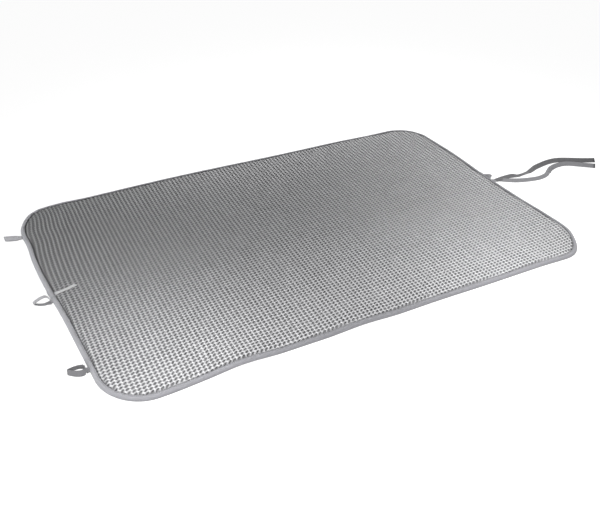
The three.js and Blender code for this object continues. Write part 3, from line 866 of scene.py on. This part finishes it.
def tie(name, node, route, rolls, light, dark):
    line = smooth_line(route, TIE_POINTS)
    share = np.linspace(0, 1, TIE_POINTS)
    roll = np.radians(np.interp(share, *zip(*rolls)))
    window = np.hanning(2 * ROLL_BLUR + 1)
    roll = np.convolve(np.pad(roll, ROLL_BLUR, "edge"), window / window.sum(), "valid")
    line[:, 2] += TAPE_WIDTH / 2 * np.abs(np.sin(roll))
    section = tape_section(TAPE_WIDTH, TAPE_THICK)
    long = float(np.linalg.norm(np.diff(line, axis=0), axis=1).sum())
    piece = ribbon(name, line, level_sides(line, roll), section, (long, 2 * TAPE_WIDTH))

    # Its cut end is sealed with heat, which leaves it darker
    sealed = ("X", long - SEALED_END / 2, long - SEALED_END, "#38383b")
    piece.data.materials.append(woven_tape("woven_" + name, light, dark, mark=sealed))
    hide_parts(node)
    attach(piece, "mat")


# The first tie is the same tape as the second, painted a darker grey as painted shade
tie("first_tie_tape", "first_tie", FIRST_TIE, FIRST_ROLLS, "#5e5e60", "#4d4d4f")
tie("second_tie_tape", "second_tie", SECOND_TIE, SECOND_ROLLS, "#7d7d80", "#69696c")

# The sewn middle of the tape and its slack, which bulges most three quarters of the way along
TIE_PLACE = -0.008
TIE_END_REACH = 0.009
TIE_END_POINTS = 9
SLACK_START = 0.037
SLACK_POINTS = 41
SLACK_BULGE = 0.0055
SLACK_BIAS = 2.4
SLACK_FOOT_SHARE = 0.35
SLACK_CREST_SHARE = 0.9
SLACK_LEAN = math.radians(45)


def tie_end():
    """The doubled tape where it leaves the binding."""
    doubled = 2 * TAPE_THICK + SEAT
    share = np.linspace(0, 1, TIE_END_POINTS)
    middle, turn = sewn_line(1, 0, TIE_PLACE, TAPE_WIDTH)
    out = SEAT + (TIE_END_REACH - SEAT) * share
    drop = (doubled / 2 + TABLE_CLEAR - ROOT_HEIGHT) * ease(share)
    x, y = middle[0] + out * math.cos(turn), middle[1] + out * math.sin(turn)
    line = np.stack([x, y, middle[2] + drop], 1)
    sides = level_sides(line, np.zeros(TIE_END_POINTS))
    section = tape_section(TAPE_WIDTH, doubled)
    return ribbon("tie_end", line, sides, section, (TIE_END_REACH, 2 * TAPE_WIDTH))


def tie_slack():
    """The slack stands on its edge and leans out where it bulges. Its ends are tucked in low."""
    share = np.linspace(0, 1, SLACK_POINTS)
    along = SLACK_START * (1 - share)
    line = settle(np.column_stack([np.full(SLACK_POINTS, HALF[0]), along, np.zeros(SLACK_POINTS)]))
    bow = np.sin(np.pi * share ** SLACK_BIAS) ** 2
    roll = math.pi / 2 - SLACK_LEAN * bow
    wide = SLACK_FOOT_SHARE + (SLACK_CREST_SHARE - SLACK_FOOT_SHARE) * bow
    line[:, 0] += SEAT + TAPE_THICK / 2 + SLACK_BULGE * bow
    line[:, 2] = TABLE_CLEAR + TAPE_WIDTH / 2 * wide * np.sin(roll)
    section = tape_section(TAPE_WIDTH, TAPE_THICK)
    size = (SLACK_START, 2 * TAPE_WIDTH)
    return ribbon("slack_fold", line, level_sides(line, roll), section, size, wide)


for piece, node in ((tie_end(), "tie_sewn_end"), (tie_slack(), "tie_slack")):
    piece.data.materials.append(grey_tape)
    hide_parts(node)
    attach(piece, "mat")

# Floor
# Plain pale paper, which glows enough to stay nearly white away from the lamps.
FLOOR_HALF = 20
FLOOR_DROP = 0.0002
FLOOR_GLOW = 0.95
PAPER_ROUGHNESS = 0.9
floor_mesh = bmesh.new()
bmesh.ops.create_grid(floor_mesh, x_segments=1, y_segments=1, size=FLOOR_HALF)
floor = mesh_of(floor_mesh, "floor", smooth=False)
floor.data.transform(Matrix.Translation((0, 0, -FLOOR_DROP)))
paper, paper_shader = cloth("pale_paper", PAPER_ROUGHNESS, 0)
paper_shader.inputs["Base Color"].default_value = linear("#898989")
paper_shader.inputs["Emission Color"].default_value = linear("#ffffff")
paper_shader.inputs["Emission Strength"].default_value = FLOOR_GLOW
floor.data.materials.append(paper)

# Lamps
# Soft round lamps low on the left and close over the front and the right, which leave the far left of the
# pad darker, and a strip lamp for the tapes of the left edge alone. Each row is a lamp that points straight
# down: its name, its place and its watts.
ROUND, STRIP = (0.4, 0.4), (0.6, 0.06)
LAMP_HEIGHT = 0.3
ROOM_GLOW = 0.05
DOWNLIGHTS = [
    ("front_left", -0.43, -0.37, 2.1),
    ("front", -0.02, -0.4, 0.7),
    ("front_right", 0.32, -0.4, 2.2),
    ("right_back", 0.45, 0.45, 1.0),
    ("right", 0.6, 0, 1.15),
    ("back", 0, 0.45, 0.88),
    ("back_left", -0.45, 0.3, 0.25),
]


def soft_light(name, place, aim, size, watts, lit=()):
    """A lamp at a place and aimed at another, over the table, and not itself in the picture.

    It may be kept off all but the pieces that it is for."""
    light = bpy.data.lights.new(name, "AREA")
    light.shape = "ELLIPSE"
    light.size, light.size_y = size
    light.energy = watts
    lamp = bpy.data.objects.new(name, light)
    lamp.location = (*place, LAMP_HEIGHT)
    lamp.rotation_euler = (Vector((*aim, 0)) - lamp.location).to_track_quat("-Z", "Y").to_euler()
    lamp.visible_camera = False
    bpy.context.scene.collection.objects.link(lamp)
    if lit:
        receivers = bpy.data.collections.new(name + "_receivers")
        for piece in lit:
            receivers.objects.link(piece)
        lamp.light_linking.receiver_collection = receivers


soft_light("left_front", (-1.5, -0.9), (0, 0), ROUND, 11.0)
soft_light("left_edge", (-0.62, 0.13), (-0.5, 0.13), STRIP, 1.6, [binding_tape, seam_thread, *loops])
for name, x, y, watts in DOWNLIGHTS:
    soft_light(name, (x, y), (x, y), ROUND, watts)
world = bpy.data.worlds.new("studio")
world.use_nodes = True
world.node_tree.nodes["Background"].inputs["Color"].default_value = linear("#ffffff")
world.node_tree.nodes["Background"].inputs["Strength"].default_value = ROOM_GLOW
bpy.context.scene.world = world
bpy.context.scene.view_settings.view_transform = "Standard"

# Camera
# It stands where the photograph was taken from, at the near left, and looks down on the pad. Its angles turn
# it about X, Y and Z, from looking straight down.
CAMERA_PLACE = (-0.7129, -1.2799, 0.8903)
CAMERA_ANGLES = [math.radians(angle) for angle in (56.427, -0.995, -28.739)]
FOCAL_PIXELS = 842.39
PICTURE_WIDTH = 600
SENSOR_WIDTH = 36
lens = bpy.data.cameras.new("camera")
lens.sensor_width = SENSOR_WIDTH
lens.lens = SENSOR_WIDTH * FOCAL_PIXELS / PICTURE_WIDTH
camera = bpy.data.objects.new("camera", lens)
camera.matrix_world = Matrix.LocRotScale(Vector(CAMERA_PLACE), Euler(CAMERA_ANGLES), None)
bpy.context.scene.collection.objects.link(camera)
bpy.context.scene.camera = camera
